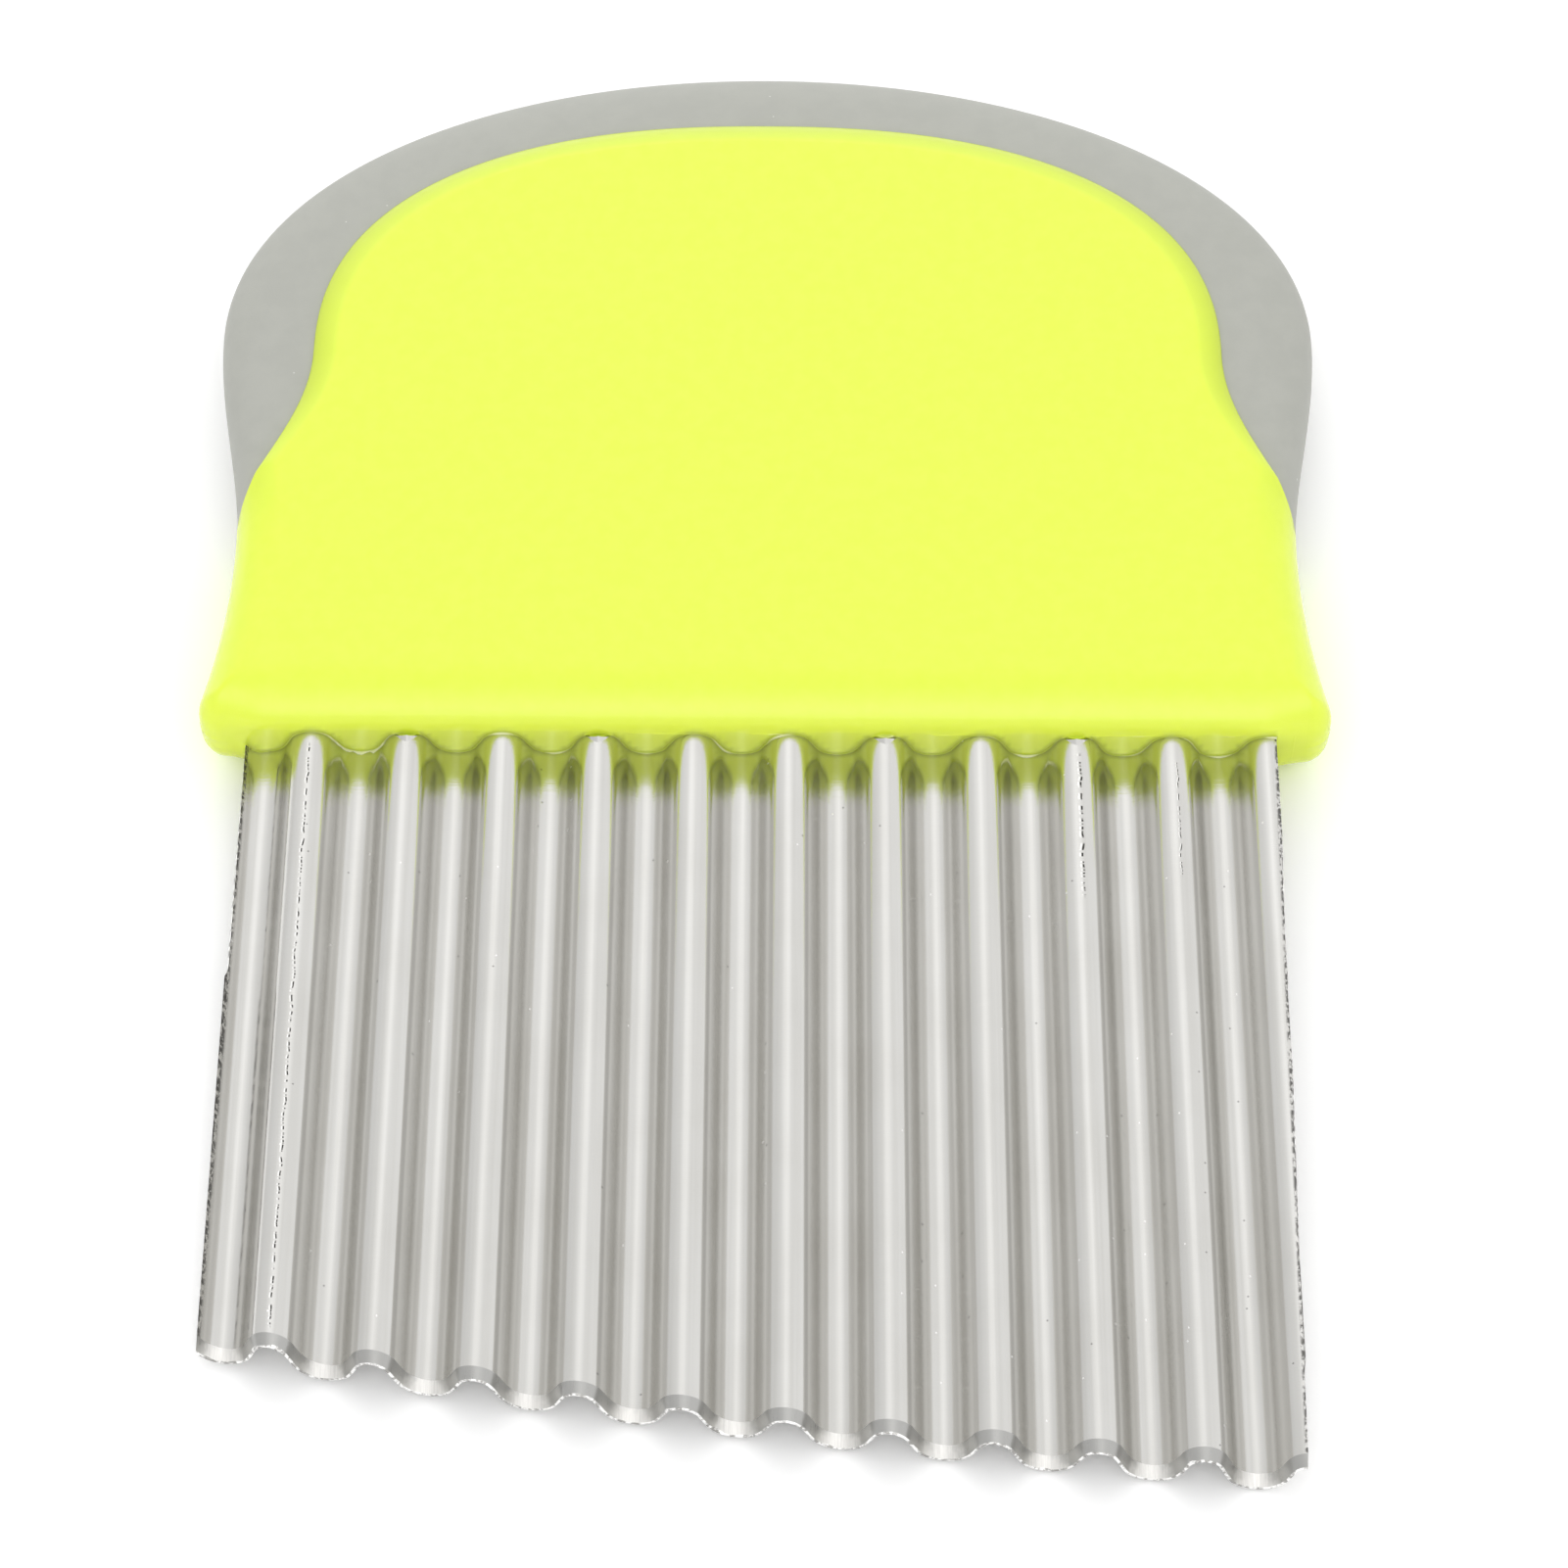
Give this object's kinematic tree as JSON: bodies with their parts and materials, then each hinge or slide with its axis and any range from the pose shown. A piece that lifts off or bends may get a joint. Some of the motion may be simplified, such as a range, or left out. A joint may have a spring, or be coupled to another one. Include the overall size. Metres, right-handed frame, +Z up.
{
  "type": "crinkle cutter",
  "caption": "Hand-held crinkle cutter: a corrugated steel blade with a slanted ground edge, moulded into a flat palm-wide plastic handle with a soft rubber band over its arch.",
  "frame": {"origin": "middle of the tool's box in plan, on the plane of the handle's flat back, which it lies on", "axes": "+X along the handle to the longer end of the blade, +Y from the cutting edge to the top of the handle, +Z up through the thickness, towards the face with the ground bevel"},
  "size_m": [0.0918, 0.1318, 0.0102],
  "materials": {
    "steel": "satin stainless sheet, fine marks along the waves, bright ground cutting edge",
    "handle_plastic": "lime green moulded plastic, low gloss",
    "grip_rubber": "warm grey moulded rubber, matte"
  },
  "bodies": {
    "root": {"wavy_blade": "steel", "handle_body": "handle_plastic", "soft_grip": "grip_rubber"}
  },
  "joints": []
}
